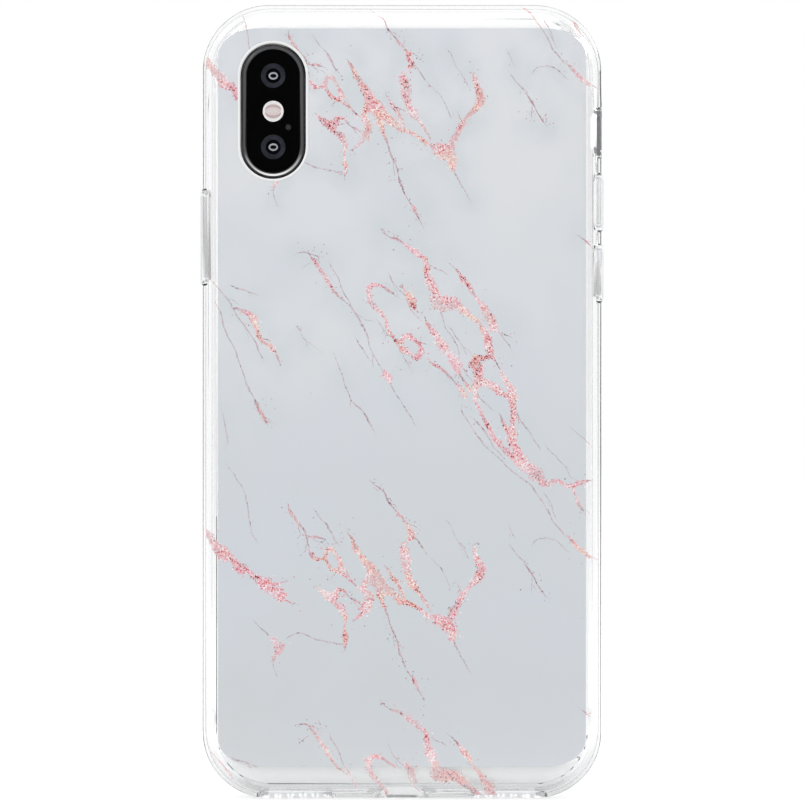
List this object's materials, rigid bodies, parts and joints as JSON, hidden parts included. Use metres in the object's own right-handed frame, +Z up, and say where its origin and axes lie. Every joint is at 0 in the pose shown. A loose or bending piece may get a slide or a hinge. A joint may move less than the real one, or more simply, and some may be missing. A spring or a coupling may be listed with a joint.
{
  "type": "smartphone",
  "caption": "Smartphone in a clear bumper case with a marble-print back, vertical camera island, side buttons, ring switch and bottom charging port.",
  "frame": {"origin": "middle of the case's bottom end, which is the lowest face with the phone upright", "axes": "+Z up the phone towards the top edge, +Y out of the screen, +X to the right when looking at the back"},
  "size_m": [0.0746, 0.01, 0.1466],
  "materials": {
    "clear_soft_plastic": "clear, glossy, soft",
    "clear_hard_plastic": "clear, glossy, hard",
    "marble_print": "glossy print of pale grey marble with rose-gold veins",
    "polished_steel": "mirror polish",
    "antenna_plastic": "satin, light grey",
    "screen_glass": "gloss, black when off",
    "seal_rubber": "matt black",
    "display_stack": "gloss, nearly black",
    "plate_aluminium": "satin",
    "rear_glass": "gloss white",
    "island_metal": "dark grey, polished bevel",
    "camera_glass": "gloss, black ink round clear windows",
    "camera_can": "satin nickel",
    "lens_black": "matt black",
    "flash_lens": "ribbed, pale",
    "flash_phosphor": "satin yellow",
    "board_green": "satin, dark blue",
    "chip_black": "matt black",
    "shield_can": "satin nickel",
    "screw_steel": "bright",
    "cell_foil": "satin black wrap",
    "adhesive_tape": "matt white",
    "copper_wire": "lacquered copper",
    "ferrite": "matt, dark",
    "motor_steel": "brushed",
    "dense_weight": "satin, dark",
    "speaker_plastic": "matt black",
    "speaker_film": "satin",
    "magnet_nickel": "bright nickel",
    "socket_steel": "satin",
    "flex_circuit": "satin, amber",
    "mic_can": "satin",
    "mesh_steel": "fine weave, dark",
    "sensor_black": "matt black",
    "tray_steel": "polished face, satin blade",
    "switch_metal": "polished"
  },
  "bodies": {
    "phone": {"case_shell": "clear_soft_plastic", "case_back_panel": "clear_hard_plastic", "case_print_film": "marble_print", "steel_frame": "polished_steel", "antenna_breaks": "antenna_plastic", "front_glass": "screen_glass", "display_gasket": "seal_rubber", "oled_panel": "display_stack", "display_shield_plate": "plate_aluminium", "rear_glass": "rear_glass", "rear_support_plate": "plate_aluminium", "ring_switch_base": "sensor_black", "sim_tray": "tray_steel", "sim_reader": "shield_can", "button_flexes": "flex_circuit", "end_screws": "screw_steel", "camera_island_ring": "island_metal", "camera_cover_glass": "camera_glass", "flash_diffuser": "flash_lens", "flash_led_module": "flash_phosphor", "rear_microphone": "mic_can", "camera_bracket": "camera_can", "sensor_bracket": "camera_can", "main_board_rear": "board_green", "board_interposer": "board_green", "main_board_front": "board_green", "board_shield_can": "shield_can", "board_chips": "chip_black", "processor_package": "chip_black", "board_screws": "screw_steel", "battery_adhesive_strips": "adhesive_tape", "charging_coil": "copper_wire", "ferrite_sheet": "ferrite", "haptic_engine_case": "motor_steel", "speaker_box": "speaker_plastic", "speaker_magnet": "magnet_nickel", "charging_port": "socket_steel", "port_flex": "flex_circuit", "bottom_microphone": "mic_can", "grille_mesh": "mesh_steel", "infrared_camera": "sensor_black", "flood_illuminator": "sensor_black", "earpiece_speaker": "sensor_black", "selfie_camera": "sensor_black", "dot_projector": "sensor_black", "battery_long_cell": "cell_foil", "battery_short_cell": "cell_foil", "wide_camera_housing": "camera_can", "tele_camera_housing": "camera_can"},
    "power_key": {"power_button": "switch_metal", "power_pad": "clear_soft_plastic"},
    "volume_up_key": {"volume_up_button": "switch_metal", "volume_up_pad": "clear_soft_plastic"},
    "volume_down_key": {"volume_down_button": "switch_metal", "volume_down_pad": "clear_soft_plastic"},
    "ring_switch": {"ring_switch_lever": "switch_metal"},
    "haptic_mass": {"haptic_weight": "dense_weight"},
    "wide_focus": {"wide_camera_barrel": "lens_black"},
    "tele_focus": {"tele_camera_barrel": "lens_black"},
    "loudspeaker_cone": {"speaker_cone": "speaker_film"}
  },
  "joints": [
    {"name": "power_press", "type": "slide", "parent": "phone", "child": "power_key", "axis": [1, 0, 0], "range_m": [0, 0.0003], "stiffness_N_per_m": 2000},
    {"name": "volume_up_press", "type": "slide", "parent": "phone", "child": "volume_up_key", "axis": [-1, 0, 0], "range_m": [0, 0.0003], "stiffness_N_per_m": 2000},
    {"name": "volume_down_press", "type": "slide", "parent": "phone", "child": "volume_down_key", "axis": [-1, 0, 0], "range_m": [0, 0.0003], "stiffness_N_per_m": 2000},
    {"name": "ring_switch_slide", "type": "slide", "parent": "phone", "child": "ring_switch", "axis": [0, -1, 0], "range_m": [0, 0.0012]},
    {"name": "haptic_swing", "type": "slide", "parent": "phone", "child": "haptic_mass", "axis": [1, 0, 0], "range_m": [-0.0008, 0.0008], "stiffness_N_per_m": 600},
    {"name": "wide_focus_slide", "type": "slide", "parent": "phone", "child": "wide_focus", "axis": [0, -1, 0], "range_m": [0, 0.00025], "stiffness_N_per_m": 200},
    {"name": "tele_focus_slide", "type": "slide", "parent": "phone", "child": "tele_focus", "axis": [0, -1, 0], "range_m": [0, 0.00025], "stiffness_N_per_m": 200},
    {"name": "loudspeaker_throw", "type": "slide", "parent": "phone", "child": "loudspeaker_cone", "axis": [0, 1, 0], "range_m": [-0.00035, 0.00035], "stiffness_N_per_m": 500}
  ]
}
